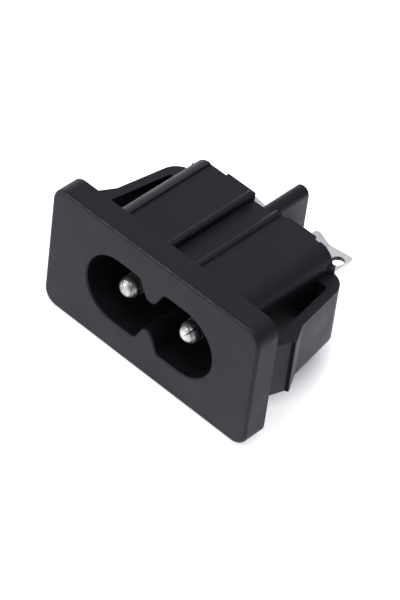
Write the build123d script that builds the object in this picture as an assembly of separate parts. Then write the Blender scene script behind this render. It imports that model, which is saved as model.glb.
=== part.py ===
"""Snap-in panel inlet for a two-pole figure-8 mains lead, in millimetres.

The origin is the centre of the flange's rear face, which lies against the panel.
+X runs to the right as seen from the front, +Y into the panel and +Z up.
"""
import os
from math import asin, atan2, cos, degrees, radians, sin, tan

from build123d import *

# Flange: the plate that stays in front of the panel.
FLANGE_WIDTH = 29.0
FLANGE_HEIGHT = 16.0
FLANGE_THICKNESS = 2.9
FLANGE_CORNER = 1.8
FLANGE_FRONT_EDGE = 0.4

# Body: the block behind the flange, with two sunk panels and a ribbed groove on its top and bottom.
BODY_WIDTH = 19.6
BODY_HEIGHT = 12.4
BODY_DEPTH = 13.5
BODY_CORNER = 2.0
PANEL_DEPTH = 0.16
GROOVE_WIDTH = 3.0
GROOVE_DEPTH = 0.82
RIB_WIDTH = 0.9
RIB_RISE = 0.14
RIB_ROOT = 1.6
RIB_CREST = 0.42

# Socket: the figure-8 well for the plug, with a keying bump above and below its waist.
SOCKET_LOBE_RADIUS = 4.24
SOCKET_LOBE_PITCH = 9.26
SOCKET_WAIST = 3.95
SOCKET_REAR_WALL = 3.6
SOCKET_LIP = 0.15
BUMP_BASE = 3.34
BUMP_TIP_RADIUS = 0.85
BUMP_FOOT_RADIUS = 0.8

# Wings: the spring leaves at both ends, rooted at the rear, with a ramped and stepped catch at the tip.
WING_HEIGHT = 7.0
WING_TIP_GAP = 0.9
WING_ROOT_LENGTH = 2.1
WING_ROOT_GAP = 1.35
WING_TIP_OPENING = 3.0
WING_ROOT_REACH = 2.1
WING_REAR_RADIUS = 2.3
WING_GAP_RADIUS = 0.5
LEAF_SHOULDER_REACH = 3.42
LEAF_SHOULDER_DEPTH = 5.5
LEAF_SHOULDER_RADIUS = 0.4
CATCH_RIDGE_REACH = 4.75
CATCH_RIDGE_DEPTH = 3.1
CATCH_TIP_REACH = 3.7
CATCH_STEP_REACH = 4.33
CATCH_STEP_DEPTH = 2.9
CATCH_EDGE = 0.15
GUSSET_RISE = 1.05
GUSSET_REACH = 0.38
GUSSET_LENGTH = 0.9

# Rear: a pad round each contact, and the barrier fin between them.
PAD_WIDTH = 3.9
PAD_HEIGHT = 10.0
PAD_DEPTH = 1.4
PAD_EDGE = 0.15
BARRIER_WIDTH = 1.8
BARRIER_HEIGHT = 9.8
BARRIER_DEPTH = 6.25
BARRIER_EDGE = 0.15

# Contacts: each rolled from one sheet, with a hollow pin and a trough-shaped solder tail.
PIN_PITCH = 8.6
PIN_RADIUS = 1.2
PIN_RECESS = 0.7
PIN_ROOT_RADIUS = 1.38
PIN_ROOT_TAPER = 0.3
PIN_BORE_CLEARANCE = 0.02
SHEET = 0.5
SEAM_WIDTH = 0.18
SEAM_FROM_TOP = 33.0
TUBE_STANDOFF = 0.2
TUBE_FLOOR_ANGLE = 60.0
TAIL_FLARE = 1.75
TAIL_LENGTH = 5.1
TAIL_LEFT_SHORTER = 0.75
TAIL_INNER_REACH = 1.85
TAIL_INNER_RISE = 0.95
TAIL_OUTER_REACH = 3.4
TAIL_OUTER_RISE = 0.48
TAIL_BEND = 0.4
TAIL_OUTER_CORNER = 0.4
TAIL_INNER_CORNER = 0.6
HOLE_RADIUS = 0.77
HOLE_REACH = 2.4
HOLE_FROM_END = 1.5

# Depths that follow from the sizes above.
FRONT = -FLANGE_THICKNESS
SOCKET_FLOOR = BODY_DEPTH - SOCKET_REAR_WALL
PAD_REAR = BODY_DEPTH + PAD_DEPTH
NOSE_CENTRE = FRONT + PIN_RECESS + PIN_RADIUS
TUBE_END = PAD_REAR + TUBE_STANDOFF
TAIL_START = TUBE_END + TAIL_FLARE
TROUGH_FLOOR = SHEET - PIN_RADIUS
SIDES = (-1, 1)

# Angles about a pin, from +X towards +Z.
TOP = 90.0
BOTTOM = 270.0
TURN = 360.0


def upright(depth):
    """Plane across the inlet at a depth, with its local x and y along +X and +Z."""
    return Plane(origin=(0, depth, 0), x_dir=(1, 0, 0), z_dir=(0, -1, 0))


def run(profile, start, end):
    """Solid of an upright profile that runs from one depth to another."""
    return extrude(upright(start) * profile, amount=end - start, dir=(0, 1, 0))


def flange():
    """Rounded plate with a softened front edge."""
    plate = run(RectangleRounded(FLANGE_WIDTH, FLANGE_HEIGHT, FLANGE_CORNER), FRONT, 0)
    front = plate.faces().sort_by(Axis.Y)[0]
    return fillet(front.edges(), FLANGE_FRONT_EDGE)


def rib(side):
    """Round-crested rib beside the groove, rooted inside the block."""
    height = RIB_ROOT + RIB_RISE
    middle = BODY_HEIGHT / 2 + RIB_RISE - height / 2
    centre = side * (GROOVE_WIDTH + RIB_WIDTH) / 2
    return Pos(centre, middle) * RectangleRounded(RIB_WIDTH, height, RIB_CREST)


def body():
    """Block with a groove between two ribs and a sunk panel on each side, the same on top and bottom."""
    top = Pos(0, BODY_HEIGHT / 2)
    panels = top * Rectangle(BODY_WIDTH - 2 * BODY_CORNER, 2 * PANEL_DEPTH)
    ribs = rib(-1) + rib(1)
    groove = top * Rectangle(GROOVE_WIDTH, 2 * GROOVE_DEPTH)
    profile = RectangleRounded(BODY_WIDTH, BODY_HEIGHT, BODY_CORNER)
    profile -= panels + mirror(panels, Plane.XZ)
    profile += ribs + mirror(ribs, Plane.XZ)
    profile -= groove + mirror(groove, Plane.XZ)
    return run(profile, 0, BODY_DEPTH)


def socket_profile():
    """Figure-8 outline: two lobes, pinched at the waist by two rounded bumps."""
    outline = SlotCenterToCenter(SOCKET_LOBE_PITCH, 2 * SOCKET_LOBE_RADIUS)
    tip = Pos(0, SOCKET_WAIST / 2 + BUMP_TIP_RADIUS) * Circle(BUMP_TIP_RADIUS)
    base = Line((-BUMP_BASE / 2, SOCKET_LOBE_RADIUS), (BUMP_BASE / 2, SOCKET_LOBE_RADIUS))
    bump = make_hull(tip.edges() + base.edges())
    outline -= bump + mirror(bump, Plane.XZ)
    feet = [v for v in outline.vertices() if abs(abs(v.X) - BUMP_BASE / 2) < BUMP_FOOT_RADIUS / 2]
    feet = [v for v in feet if abs(v.Y) > SOCKET_LOBE_RADIUS - BUMP_FOOT_RADIUS / 2]
    return fillet(feet, BUMP_FOOT_RADIUS)


def wing():
    """Right-hand spring leaf: a tapered plan with a stepped catch, and a gusset at its root."""
    side = BODY_WIDTH / 2
    gap_end = BODY_DEPTH - WING_ROOT_LENGTH
    rear_corner = (side + WING_ROOT_REACH, BODY_DEPTH)
    shoulder = (side + LEAF_SHOULDER_REACH, LEAF_SHOULDER_DEPTH)
    ridge = (side + CATCH_RIDGE_REACH, CATCH_RIDGE_DEPTH)
    step = (side + CATCH_STEP_REACH, CATCH_STEP_DEPTH)
    tip_outer = (side + CATCH_TIP_REACH, WING_TIP_GAP)
    tip_inner = (side + WING_TIP_OPENING, WING_TIP_GAP)
    gap_corner = (side + WING_ROOT_GAP, gap_end)
    outline = Polyline(
        (side, BODY_DEPTH),
        rear_corner,
        shoulder,
        ridge,
        step,
        tip_outer,
        tip_inner,
        gap_corner,
        (side, gap_end),
        close=True,
    )
    plan = make_face(outline)
    for corner, radius in (
        (rear_corner, WING_REAR_RADIUS),
        (gap_corner, WING_GAP_RADIUS),
        (shoulder, LEAF_SHOULDER_RADIUS),
        (ridge, CATCH_EDGE),
    ):
        plan = fillet(plan.vertices().sort_by_distance(corner)[0], radius)
    leaf = extrude(plan, amount=WING_HEIGHT / 2, both=True)
    ramp_start = (side - GUSSET_REACH, BODY_DEPTH - 2 * GUSSET_LENGTH)
    ramp_end = (side + GUSSET_REACH, BODY_DEPTH)
    wedge = make_face(Polyline(ramp_start, ramp_end, (side - GUSSET_REACH, BODY_DEPTH), close=True))
    return leaf + extrude(wedge, amount=WING_HEIGHT / 2 + GUSSET_RISE, both=True)


def pad(side):
    """Raised pad round a contact on the rear face."""
    block = run(Pos(side * PIN_PITCH / 2, 0) * Rectangle(PAD_WIDTH, PAD_HEIGHT), SOCKET_FLOOR, PAD_REAR)
    rear = block.faces().sort_by(Axis.Y)[-1]
    return fillet(rear.edges(), PAD_EDGE)


def barrier():
    """Insulating fin between the two solder tails, fully round along its top and bottom."""
    across = SlotOverall(BARRIER_HEIGHT, BARRIER_WIDTH, rotation=TURN / 4)
    fin = run(across, SOCKET_FLOOR, BODY_DEPTH + BARRIER_DEPTH)
    rear = fin.faces().sort_by(Axis.Y)[-1]
    return chamfer(rear.edges(), BARRIER_EDGE)


def housing():
    """The whole moulding, with the socket and the two contact bores cut out of it."""
    right = wing()
    solid = flange() + body() + right + mirror(right, Plane.YZ) + barrier()
    for side in SIDES:
        solid += pad(side)
    solid -= run(socket_profile(), FRONT, SOCKET_FLOOR)
    for side in SIDES:
        hole = Pos(side * PIN_PITCH / 2, 0) * Circle(PIN_ROOT_RADIUS + PIN_BORE_CLEARANCE)
        solid -= run(hole, SOCKET_FLOOR, PAD_REAR)
    mouth = solid.faces().sort_by(Axis.Y)[0].inner_wires()[0]
    return chamfer(mouth.edges(), SOCKET_LIP)


def seam_angles():
    """Angles from +X towards +Z at which the rolled sheet starts and ends, on either side of the seam."""
    half_seam = degrees(asin(SEAM_WIDTH / 2 / PIN_RADIUS))
    seam = TOP - SEAM_FROM_TOP
    return seam + half_seam, seam - half_seam + TURN


def ring_point(radius, angle):
    """Point of the pin's section at an angle from +X towards +Z."""
    return (radius * cos(radians(angle)), radius * sin(radians(angle)))


def pin():
    """Hollow pin about the Y axis: a round nose, a thicker root for the wall, and an open seam all along."""
    start, end = seam_angles()
    bore = PIN_RADIUS - SHEET
    nose = TangentArc((0, NOSE_CENTRE - PIN_RADIUS), (PIN_RADIUS, NOSE_CENTRE), tangent=(1, 0))
    wall = Polyline(
        (PIN_RADIUS, NOSE_CENTRE),
        (PIN_RADIUS, SOCKET_FLOOR - PIN_ROOT_TAPER),
        (PIN_ROOT_RADIUS, SOCKET_FLOOR),
        (PIN_ROOT_RADIUS, TUBE_END),
        (PIN_ROOT_RADIUS - SHEET, TUBE_END),
        (PIN_ROOT_RADIUS - SHEET, SOCKET_FLOOR),
        (bore, SOCKET_FLOOR - PIN_ROOT_TAPER),
        (bore, NOSE_CENTRE),
        (0, NOSE_CENTRE),
        (0, NOSE_CENTRE - PIN_RADIUS),
    )
    radial = Plane(
        origin=(0, 0, 0),
        x_dir=(cos(radians(start)), 0, sin(radians(start))),
        z_dir=(-sin(radians(start)), 0, cos(radians(start))),
    )
    profile = radial * make_face(nose + wall)
    return revolve(profile, Axis((0, 0, 0), (0, -1, 0)), revolution_arc=end - start)


def tube_section():
    """Section of the pin's root, cut into the same three stretches as the tail's section."""
    start, end = seam_angles()
    stops = (start, BOTTOM - TUBE_FLOOR_ANGLE / 2, BOTTOM + TUBE_FLOOR_ANGLE / 2, end)
    edges = []
    for radius in (PIN_ROOT_RADIUS, PIN_ROOT_RADIUS - SHEET):
        for first, last in zip(stops, stops[1:]):
            middle = (first + last) / 2
            edges.append(ThreePointArc(*[ring_point(radius, a) for a in (first, middle, last)]))
    for angle in (start, end):
        edges.append(Line(ring_point(PIN_ROOT_RADIUS, angle), ring_point(PIN_ROOT_RADIUS - SHEET, angle)))
    return make_face(edges)


def tail_section():
    """Trough section of the solder tail: two wings that rise from a bend under the pin."""
    top = FilletPolyline(
        (-TAIL_INNER_REACH, TROUGH_FLOOR + TAIL_INNER_RISE),
        (0, TROUGH_FLOOR),
        (TAIL_OUTER_REACH, TROUGH_FLOOR + TAIL_OUTER_RISE),
        radius=TAIL_BEND,
    )
    return make_face(offset(top, SHEET, side=Side.RIGHT, closed=True))


def tail(tail_end):
    """Flat-winged end of the contact, with rounded corners and a hole for the wire."""
    trough = run(tail_section(), TAIL_START, tail_end)
    corners = trough.faces().sort_by(Axis.Y)[-1].edges().sort_by(Axis.X)
    trough = fillet(corners[0], TAIL_INNER_CORNER)
    corners = trough.faces().sort_by(Axis.Y)[-1].edges().sort_by(Axis.X)
    trough = fillet(corners[-1], TAIL_OUTER_CORNER)
    slope = atan2(TAIL_OUTER_RISE, TAIL_OUTER_REACH)
    on_wing = Plane(
        origin=(HOLE_REACH, tail_end - HOLE_FROM_END, TROUGH_FLOOR + HOLE_REACH * tan(slope)),
        x_dir=(cos(slope), 0, sin(slope)),
        z_dir=(-sin(slope), 0, cos(slope)),
    )
    return trough - extrude(on_wing * Circle(HOLE_RADIUS), amount=2 * SHEET, both=True)


def contact(tail_length):
    """Right-hand contact: a hollow pin, a flare that unrolls it, and the pierced tail."""
    flare = loft([upright(TUBE_END) * tube_section(), upright(TAIL_START) * tail_section()])
    return Pos(PIN_PITCH / 2, 0, 0) * (pin() + flare + tail(PAD_REAR + tail_length))


def main():
    os.makedirs("parts", exist_ok=True)
    pieces = {
        "housing": housing(),
        "contact_left": mirror(contact(TAIL_LENGTH - TAIL_LEFT_SHORTER), Plane.YZ),
        "contact_right": contact(TAIL_LENGTH),
    }
    for name, piece in pieces.items():
        export_step(piece, f"parts/{name}.step")


main()
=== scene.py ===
"""A snap-in panel inlet for a two-pole figure-8 mains lead, on a pale studio floor."""

import bpy
from mathutils import Matrix, Vector


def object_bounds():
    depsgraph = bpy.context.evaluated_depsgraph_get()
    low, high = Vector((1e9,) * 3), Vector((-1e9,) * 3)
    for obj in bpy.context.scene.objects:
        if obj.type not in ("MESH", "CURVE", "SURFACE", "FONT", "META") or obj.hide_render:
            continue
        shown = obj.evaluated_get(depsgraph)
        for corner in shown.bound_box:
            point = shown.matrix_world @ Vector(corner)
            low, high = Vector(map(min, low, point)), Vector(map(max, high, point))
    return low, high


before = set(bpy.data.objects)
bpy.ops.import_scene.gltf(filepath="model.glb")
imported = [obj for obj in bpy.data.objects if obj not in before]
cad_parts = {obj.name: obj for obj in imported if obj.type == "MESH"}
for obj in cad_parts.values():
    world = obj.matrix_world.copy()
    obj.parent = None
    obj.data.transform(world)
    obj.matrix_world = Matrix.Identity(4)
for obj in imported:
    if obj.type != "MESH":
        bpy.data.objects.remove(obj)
solid_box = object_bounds()

# Housing: one injection moulding with the flange, body, socket, spring wings, pads and barrier.
# Glass-filled nylon, coloured right through with carbon black. The mould's spark-eroded steel
# leaves it a fine satin grain.

MM = 0.001


def linear(hex_colour):
    """Linear RGBA of an sRGB hex colour."""
    channels = [int(hex_colour[i:i + 2], 16) / 255 for i in (1, 3, 5)]
    return [c / 12.92 if c <= 0.04045 else ((c + 0.055) / 1.055) ** 2.4 for c in channels] + [1.0]


def add_node(owner, kind, settings, links):
    """Adds a node with its settings, by name or number, and its links from earlier nodes."""
    node = owner.node_tree.nodes.new(kind)
    for name, value in settings.items():
        if hasattr(node, str(name)):
            setattr(node, name, value)
        else:
            node.inputs[name].default_value = value
    for name, source in links.items():
        owner.node_tree.links.new(source, node.inputs[name])
    return node


def new_material(name):
    """A material with no nodes yet."""
    material = bpy.data.materials.new(name)
    material.use_nodes = True
    material.node_tree.nodes.clear()
    return material


def give_finish(piece, material):
    """Gives a piece one material in place of those it came with."""
    piece.data.materials.clear()
    piece.data.materials.append(material)


# Black nylon is dark all through, so nearly all that the eye sees is the studio's soft sheen on it,
# slightly clouded where the melt flowed. The eroded grain is about 0.1 mm in life and is drawn at
# 0.28 mm, since it would be lost at this size.
GRAIN = 0.28 * MM
GRAIN_DEPTH = 0.05 * MM
CLOUD = 3.5 * MM
NOISE_LOW, NOISE_HIGH = 0.3, 0.7  # most of a noise pattern lies between these
SATIN_LOW, SATIN_HIGH = 0.46, 0.55  # roughness
COLOUR_A, COLOUR_B, MIXED = 6, 7, 2  # a Mix node's colour sockets, whose names aren't unique
nylon = new_material("moulded_black_nylon")
nylon_place = add_node(nylon, "ShaderNodeTexCoord", {}, {})
grain = add_node(
    nylon, "ShaderNodeTexNoise", {"Scale": 1 / GRAIN, "Detail": 3.0, "Roughness": 0.6},
    {"Vector": nylon_place.outputs["Object"]},
)
cloud = add_node(
    nylon, "ShaderNodeTexNoise", {"Scale": 1 / CLOUD, "Detail": 4.0, "Roughness": 0.55},
    {"Vector": nylon_place.outputs["Object"]},
)
tone = add_node(
    nylon, "ShaderNodeMix",
    {"data_type": "RGBA", COLOUR_A: linear("#08080a"), COLOUR_B: linear("#0e0e11")},
    {"Factor": cloud.outputs["Fac"]},
)
satin = add_node(
    nylon, "ShaderNodeMapRange",
    {"From Min": NOISE_LOW, "From Max": NOISE_HIGH, "To Min": SATIN_LOW, "To Max": SATIN_HIGH},
    {"Value": cloud.outputs["Fac"]},
)

# Handling has polished the flange's upper front edge in patches, where the surface turns from the
# front, so it catches a thin broken line of light. The rounding is found by the normal's Y, which
# is -1 on the flat front and 0 on the sides.
RUB = 0.7 * MM
RUB_NONE, RUB_FULL = 0.35, 0.6  # noise
RUBBED = 0.28  # roughness
UPPER_EDGE = 7.3 * MM
FLAT_FRONT, LEAVES_FRONT = -0.96, -0.85
NEARS_SIDE, STILL_FRONT = -0.45, -0.62
nylon_surface = add_node(nylon, "ShaderNodeNewGeometry", {}, {})
nylon_facing = add_node(
    nylon, "ShaderNodeSeparateXYZ", {}, {"Vector": nylon_surface.outputs["Normal"]},
)
turned = add_node(
    nylon, "ShaderNodeMapRange", {"From Min": FLAT_FRONT, "From Max": LEAVES_FRONT},
    {"Value": nylon_facing.outputs["Y"]},
)
frontal = add_node(
    nylon, "ShaderNodeMapRange", {"From Min": NEARS_SIDE, "From Max": STILL_FRONT},
    {"Value": nylon_facing.outputs["Y"]},
)
rounding = add_node(
    nylon, "ShaderNodeMath", {"operation": "MULTIPLY"},
    {0: turned.outputs["Result"], 1: frontal.outputs["Result"]},
)
nylon_spot = add_node(
    nylon, "ShaderNodeSeparateXYZ", {}, {"Vector": nylon_place.outputs["Object"]},
)
upper = add_node(
    nylon, "ShaderNodeMath", {"operation": "GREATER_THAN", 1: UPPER_EDGE},
    {0: nylon_spot.outputs["Z"]},
)
edge = add_node(
    nylon, "ShaderNodeMath", {"operation": "MULTIPLY"},
    {0: rounding.outputs["Value"], 1: upper.outputs["Value"]},
)
patches = add_node(
    nylon, "ShaderNodeTexNoise", {"Scale": 1 / RUB, "Detail": 2.0},
    {"Vector": nylon_place.outputs["Object"]},
)
worn = add_node(
    nylon, "ShaderNodeMapRange", {"From Min": RUB_NONE, "From Max": RUB_FULL},
    {"Value": patches.outputs["Fac"]},
)
rubbed = add_node(
    nylon, "ShaderNodeMath", {"operation": "MULTIPLY"},
    {0: edge.outputs["Value"], 1: worn.outputs["Result"]},
)
sheen = add_node(
    nylon, "ShaderNodeMix", {"data_type": "FLOAT", "B": RUBBED},
    {"Factor": rubbed.outputs["Value"], "A": satin.outputs["Result"]},
)

# The locking face of each catch looks forward at the panel's rear. Its specular level is lowered as
# painted shade for the crevice between the catch and the flange, so it gives back less light.
LOCK_MIDDLE = 3.0 * MM
LOCK_REACH = 0.3 * MM
LOCK_FACING = -0.6  # the normal's Y, at most
MOULDED_SPECULAR, LOCK_SHADE_SPECULAR = 0.5, 0.12
frontward = add_node(
    nylon, "ShaderNodeMath", {"operation": "LESS_THAN", 1: LOCK_FACING},
    {0: nylon_facing.outputs["Y"]},
)
locking = add_node(
    nylon, "ShaderNodeMath", {"operation": "COMPARE", 1: LOCK_MIDDLE, 2: LOCK_REACH},
    {0: nylon_spot.outputs["Y"]},
)
lock_face_shade_mask = add_node(
    nylon, "ShaderNodeMath", {"operation": "MULTIPLY"},
    {0: frontward.outputs["Value"], 1: locking.outputs["Value"]},
)
specular = add_node(
    nylon, "ShaderNodeMapRange", {"To Min": MOULDED_SPECULAR, "To Max": LOCK_SHADE_SPECULAR},
    {"Value": lock_face_shade_mask.outputs["Value"]},
)
relief = add_node(
    nylon, "ShaderNodeBump", {"Strength": 0.12, "Distance": GRAIN_DEPTH},
    {"Height": grain.outputs["Fac"]},
)
plastic = add_node(
    nylon, "ShaderNodeBsdfPrincipled", {"IOR": 1.46, "Specular Tint": linear("#ededff")},
    {
        "Base Color": tone.outputs[MIXED], "Roughness": sheen.outputs["Result"],
        "Normal": relief.outputs["Normal"], "Specular IOR Level": specular.outputs["Result"],
    },
)
add_node(nylon, "ShaderNodeOutputMaterial", {}, {"Surface": plastic.outputs["BSDF"]})
give_finish(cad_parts["housing"], nylon)

# Contacts: two mirror-handed pieces of half-hard brass strip, rolled into hollow pins with a seam.
# The tail of each is unrolled into a trough and pierced for a wire. They are barrel-plated with
# nickel and pressed into the moulding from behind.

# Nickel is a warm, pale grey metal. Barrel plating leaves it satin, with faint lines along the strip
# from its rolling, about 0.05 mm apart in life and drawn at 0.12 mm.
ROLLING = 0.12 * MM
ROLLING_DEPTH = 0.03 * MM
ALONG_STRIP = (1.0, 0.08, 1.0)  # draws the lines out along Y
SMUDGE = 1.2 * MM
PLATED_LOW, PLATED_HIGH = 0.42, 0.56  # roughness
nickel = new_material("barrel_plated_nickel")
strip_place = add_node(nickel, "ShaderNodeTexCoord", {}, {})
drawn_out = add_node(
    nickel, "ShaderNodeMapping", {"Scale": ALONG_STRIP}, {"Vector": strip_place.outputs["Object"]},
)
lines = add_node(
    nickel, "ShaderNodeTexNoise", {"Scale": 1 / ROLLING, "Detail": 2.0},
    {"Vector": drawn_out.outputs["Vector"]},
)
smudge = add_node(
    nickel, "ShaderNodeTexNoise", {"Scale": 1 / SMUDGE, "Detail": 4.0},
    {"Vector": strip_place.outputs["Object"]},
)
tint = add_node(
    nickel, "ShaderNodeMix",
    {"data_type": "RGBA", COLOUR_A: linear("#e4e3e0"), COLOUR_B: linear("#f8f7f4")},
    {"Factor": smudge.outputs["Fac"]},
)
polish = add_node(
    nickel, "ShaderNodeMapRange",
    {"From Min": NOISE_LOW, "From Max": NOISE_HIGH, "To Min": PLATED_LOW, "To Max": PLATED_HIGH},
    {"Value": smudge.outputs["Fac"]},
)
rolled = add_node(
    nickel, "ShaderNodeBump", {"Strength": 0.22, "Distance": ROLLING_DEPTH},
    {"Height": lines.outputs["Fac"]},
)

# The punched hole's wall is given a darker colour as painted shade inside the hole, and it is made
# rougher than the rolled faces. It is found by its place on both tails and by standing upright, where
# the normal's Z is small.
HOLE_MIDDLE = 6.735 * MM  # across, from the inlet's middle
HOLE_REACH = 0.80 * MM
TAIL_MIDDLE = 18.1 * MM  # lengthways, about halfway between the two holes
TAIL_REACH = 1.12 * MM
UPRIGHT = 0.5
HOLE_WALL_ROUGH = 0.6  # roughness
strip_surface = add_node(nickel, "ShaderNodeNewGeometry", {}, {})
strip_facing = add_node(
    nickel, "ShaderNodeSeparateXYZ", {}, {"Vector": strip_surface.outputs["Normal"]},
)
slope = add_node(
    nickel, "ShaderNodeMath", {"operation": "ABSOLUTE"}, {0: strip_facing.outputs["Z"]},
)
upright = add_node(
    nickel, "ShaderNodeMath", {"operation": "LESS_THAN", 1: UPRIGHT}, {0: slope.outputs["Value"]},
)
strip_spot = add_node(
    nickel, "ShaderNodeSeparateXYZ", {}, {"Vector": strip_place.outputs["Object"]},
)
sideways = add_node(
    nickel, "ShaderNodeMath", {"operation": "ABSOLUTE"}, {0: strip_spot.outputs["X"]},
)
across = add_node(
    nickel, "ShaderNodeMath", {"operation": "COMPARE", 1: HOLE_MIDDLE, 2: HOLE_REACH},
    {0: sideways.outputs["Value"]},
)
lengthways = add_node(
    nickel, "ShaderNodeMath", {"operation": "COMPARE", 1: TAIL_MIDDLE, 2: TAIL_REACH},
    {0: strip_spot.outputs["Y"]},
)
near_hole = add_node(
    nickel, "ShaderNodeMath", {"operation": "MULTIPLY"},
    {0: across.outputs["Value"], 1: lengthways.outputs["Value"]},
)
hole_wall_shade = add_node(
    nickel, "ShaderNodeMath", {"operation": "MULTIPLY"},
    {0: near_hole.outputs["Value"], 1: upright.outputs["Value"]},
)
hole_shade_tint = add_node(
    nickel, "ShaderNodeMix", {"data_type": "RGBA", COLOUR_B: linear("#5c5954")},
    {"Factor": hole_wall_shade.outputs["Value"], COLOUR_A: tint.outputs[MIXED]},
)
hole_wall_polish = add_node(
    nickel, "ShaderNodeMix", {"data_type": "FLOAT", "B": HOLE_WALL_ROUGH},
    {"Factor": hole_wall_shade.outputs["Value"], "A": polish.outputs["Result"]},
)

# Swaging rounds the nose of each pin, burnishes it and leaves dull rings, about 0.1 mm apart in
# life and drawn at 0.35 mm.
RINGS = 0.35 * MM
RING_DEPTH = 0.10 * MM
ROUND_PIN = (0.12, 1.0, 0.12)  # draws the rings out round the pin's axis
NOSE_START, NOSE_FULL = -0.3 * MM, -0.9 * MM
BURNISHED = 0.36  # roughness
RING_NONE, RING_FULL, RING_DULL = 0.35, 0.60, 0.85
drawn_round = add_node(
    nickel, "ShaderNodeMapping", {"Scale": ROUND_PIN}, {"Vector": strip_place.outputs["Object"]},
)
rings = add_node(
    nickel, "ShaderNodeTexNoise", {"Scale": 1 / RINGS, "Detail": 2.0},
    {"Vector": drawn_round.outputs["Vector"]},
)
nose = add_node(
    nickel, "ShaderNodeMapRange", {"From Min": NOSE_START, "From Max": NOSE_FULL},
    {"Value": strip_spot.outputs["Y"]},
)
burnished = add_node(
    nickel, "ShaderNodeMix", {"data_type": "FLOAT", "B": BURNISHED},
    {"Factor": nose.outputs["Result"], "A": hole_wall_polish.outputs["Result"]},
)
score = add_node(
    nickel, "ShaderNodeMath", {"operation": "MULTIPLY"},
    {0: rings.outputs["Fac"], 1: nose.outputs["Result"]},
)
swaged = add_node(
    nickel, "ShaderNodeBump", {"Strength": 0.9, "Distance": RING_DEPTH},
    {"Height": score.outputs["Value"], "Normal": rolled.outputs["Normal"]},
)
dull = add_node(
    nickel, "ShaderNodeMapRange", {"From Min": RING_NONE, "From Max": RING_FULL, "To Max": RING_DULL},
    {"Value": score.outputs["Value"]},
)
ringed_tint = add_node(
    nickel, "ShaderNodeMix", {"data_type": "RGBA", COLOUR_B: linear("#6e6c68")},
    {"Factor": dull.outputs["Result"], COLOUR_A: hole_shade_tint.outputs[MIXED]},
)
plating = add_node(
    nickel, "ShaderNodeBsdfPrincipled", {"Metallic": 1.0},
    {
        "Base Color": ringed_tint.outputs[MIXED], "Roughness": burnished.outputs["Result"],
        "Normal": swaged.outputs["Normal"],
    },
)
add_node(nickel, "ShaderNodeOutputMaterial", {}, {"Surface": plating.outputs["BSDF"]})
for name in ("contact_left", "contact_right"):
    give_finish(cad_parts[name], nickel)

# Studio floor: a sheet of matt white card under the inlet, which stands on its flange's lower edge.
# The card is cut far larger than the picture and lies flat.

# Matt card lit by the lamps is given a painted glow on top, so it is white to the eye and even, apart
# from the inlet's soft shadow. There, a painted shadow takes the glow away and only the real shadow
# of its matt white is left. In reflections the painted glow is brightest behind the inlet and dimmer
# far in front and far to the right, so that each black face has its own tone.
CARD_SIDE = 3.0
FRONT_FAR, FRONT_NEAR = -16 * MM, -4 * MM
FAR_LIFT, NEAR_LIFT = 0.36, 0.62
REAR_NEAR, REAR_FAR = 7 * MM, 15 * MM
REAR_LIFT = 0.38
TO_RIGHT = (0.97, 0.24, 0.0)
RIGHT_NEAR, RIGHT_FAR = 19 * MM, 31 * MM
RIGHT_SHARE = 0.2
SHADOW_MIDDLE = (0.0, 9.5 * MM, 0.0)
SHADOW_SIZE = (14 * MM, 12 * MM, 1.0)  # half the width and half the depth
SHADOW_INNER, SHADOW_OUTER = 0.85, 1.15  # shares of that size
SHADOW_TRIM = 0.15  # it is this much smaller to the eye than in reflections
bpy.ops.object.select_all(action="DESELECT")
bpy.ops.mesh.primitive_plane_add(size=CARD_SIDE, location=(0, 0, solid_box[0][2]))
card = bpy.context.object
card.name = "floor"
card_white = new_material("pale_card")
rays = add_node(card_white, "ShaderNodeLightPath", {}, {})
seen_or_mirrored = add_node(
    card_white, "ShaderNodeMath", {"operation": "MAXIMUM"},
    {0: rays.outputs["Is Camera Ray"], 1: rays.outputs["Is Glossy Ray"]},
)
seen = add_node(
    card_white, "ShaderNodeMath", {"operation": "MAXIMUM"},
    {0: seen_or_mirrored.outputs["Value"], 1: rays.outputs["Is Transmission Ray"]},
)
card_place = add_node(card_white, "ShaderNodeTexCoord", {}, {})
card_spot = add_node(
    card_white, "ShaderNodeSeparateXYZ", {}, {"Vector": card_place.outputs["Object"]},
)
nearby = add_node(
    card_white, "ShaderNodeMapRange",
    {"From Min": FRONT_FAR, "From Max": FRONT_NEAR, "To Min": FAR_LIFT, "To Max": NEAR_LIFT},
    {"Value": card_spot.outputs["Y"]},
)
rearward = add_node(
    card_white, "ShaderNodeMapRange",
    {"From Min": REAR_NEAR, "From Max": REAR_FAR, "To Max": REAR_LIFT},
    {"Value": card_spot.outputs["Y"]},
)
depth = add_node(
    card_white, "ShaderNodeMath", {"operation": "ADD"},
    {0: nearby.outputs["Result"], 1: rearward.outputs["Result"]},
)
outward = add_node(
    card_white, "ShaderNodeVectorMath", {"operation": "DOT_PRODUCT", 1: TO_RIGHT},
    {0: card_place.outputs["Object"]},
)
falloff = add_node(
    card_white, "ShaderNodeMapRange",
    {"From Min": RIGHT_NEAR, "From Max": RIGHT_FAR, "To Min": 1.0, "To Max": RIGHT_SHARE},
    {"Value": outward.outputs["Value"]},
)
even = add_node(
    card_white, "ShaderNodeMath", {"operation": "MAXIMUM"},
    {0: falloff.outputs["Result"], 1: rays.outputs["Is Camera Ray"]},
)
glow_by_place = add_node(
    card_white, "ShaderNodeMath", {"operation": "MULTIPLY"},
    {0: depth.outputs["Value"], 1: even.outputs["Value"]},
)
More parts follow.
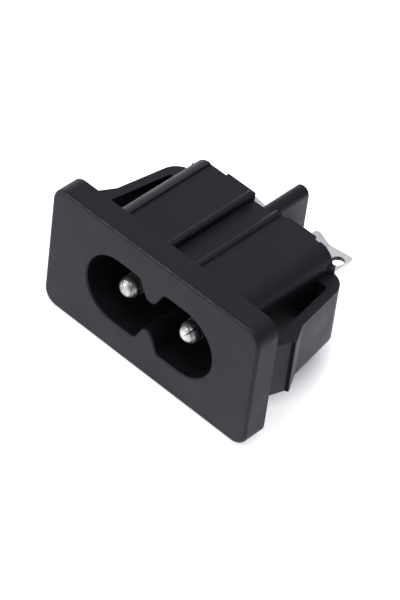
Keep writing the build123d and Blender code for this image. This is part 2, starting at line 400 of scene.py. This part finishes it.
# Painted shadow: the card's glow fades out in an ellipse under the inlet, a little smaller to the eye
# than in reflections.
under = add_node(
    card_white, "ShaderNodeMapping",
    {"vector_type": "TEXTURE", "Location": SHADOW_MIDDLE, "Scale": SHADOW_SIZE},
    {"Vector": card_place.outputs["Object"]},
)
away = add_node(
    card_white, "ShaderNodeVectorMath", {"operation": "LENGTH"}, {0: under.outputs["Vector"]},
)
margin = add_node(
    card_white, "ShaderNodeMath", {"operation": "MULTIPLY_ADD", 1: SHADOW_TRIM},
    {0: rays.outputs["Is Camera Ray"], 2: away.outputs["Value"]},
)
clear = add_node(
    card_white, "ShaderNodeMapRange", {"From Min": SHADOW_INNER, "From Max": SHADOW_OUTER},
    {"Value": margin.outputs["Value"]},
)
placed_glow = add_node(
    card_white, "ShaderNodeMath", {"operation": "MULTIPLY"},
    {0: glow_by_place.outputs["Value"], 1: clear.outputs["Result"]},
)
painted_glow = add_node(
    card_white, "ShaderNodeMath", {"operation": "MULTIPLY"},
    {0: seen.outputs["Value"], 1: placed_glow.outputs["Value"]},
)
paper = add_node(
    card_white, "ShaderNodeBsdfPrincipled",
    {
        "Base Color": linear("#e8e8e8"), "Roughness": 0.9, "Specular IOR Level": 0.0,
        "Emission Color": linear("#ffffff"),
    },
    {"Emission Strength": painted_glow.outputs["Value"]},
)
add_node(card_white, "ShaderNodeOutputMaterial", {}, {"Surface": paper.outputs["BSDF"]})
give_finish(card, card_white)

# Light: a pale room, darker overhead and to the right, so that black plastic shows each of its faces.
# A large soft box hangs overhead, and a small weak one in front to the left draws the line of light
# along the flange's edge.

OVERHEAD_START, OVERHEAD_FULL = 0.53, 0.72  # upward part of a direction
RIGHT_START, RIGHT_FULL = 0.05, 0.5  # its part to the right
world = bpy.context.scene.world or bpy.data.worlds.new("studio")
bpy.context.scene.world = world
world.use_nodes = True
world.node_tree.nodes.clear()
way = add_node(world, "ShaderNodeTexCoord", {}, {})
towards = add_node(world, "ShaderNodeSeparateXYZ", {}, {"Vector": way.outputs["Generated"]})
upward = add_node(
    world, "ShaderNodeMapRange", {"From Min": OVERHEAD_START, "From Max": OVERHEAD_FULL},
    {"Value": towards.outputs["Z"]},
)
walls = add_node(
    world, "ShaderNodeMix",
    {"data_type": "RGBA", COLOUR_A: linear("#ffffff"), COLOUR_B: linear("#595b80")},
    {"Factor": upward.outputs["Result"]},
)
rightward = add_node(
    world, "ShaderNodeMapRange", {"From Min": RIGHT_START, "From Max": RIGHT_FULL},
    {"Value": towards.outputs["X"]},
)
sides = add_node(
    world, "ShaderNodeMix", {"data_type": "RGBA", COLOUR_B: linear("#9b9da8")},
    {"Factor": rightward.outputs["Result"], COLOUR_A: walls.outputs[MIXED]},
)
room = add_node(world, "ShaderNodeBackground", {}, {"Color": sides.outputs[MIXED]})
add_node(world, "ShaderNodeOutputWorld", {}, {"Surface": room.outputs["Background"]})

for name, stand, side, watts in (
    ("overhead_box", (0.10, -0.10, 0.90), 0.70, 4.0),
    ("front_strip", (-0.45, -0.69, 0.56), 0.30, 1.6),
):
    bpy.ops.object.light_add(type="AREA", location=stand)
    lamp = bpy.context.object
    lamp.name = name
    lamp.data.size = side
    lamp.data.energy = watts
    lamp.rotation_euler = Vector(stand).to_track_quat("Z", "Y").to_euler()

# Camera: a long lens from above and to the right of the socket, in the photograph's place and tilt.
# Its three axes are the picture's right, its down and the way that the lens looks.

RIGHT = Vector((0.71556, 0.69158, 0.09840))
DOWN = Vector((0.53381, -0.45050, -0.71561))
AHEAD = Vector((-0.45057, 0.56459, -0.69154))
STAND = (0.159735, -0.195054, 0.242554)
bpy.ops.object.camera_add()
camera = bpy.context.object
camera.data.sensor_width = 36.0
camera.data.lens = 206.38
turn = Matrix((RIGHT, -DOWN, -AHEAD)).transposed()
camera.matrix_world = Matrix.Translation(STAND) @ turn.to_4x4()
bpy.context.scene.camera = camera
bpy.context.scene.view_settings.view_transform = "Standard"
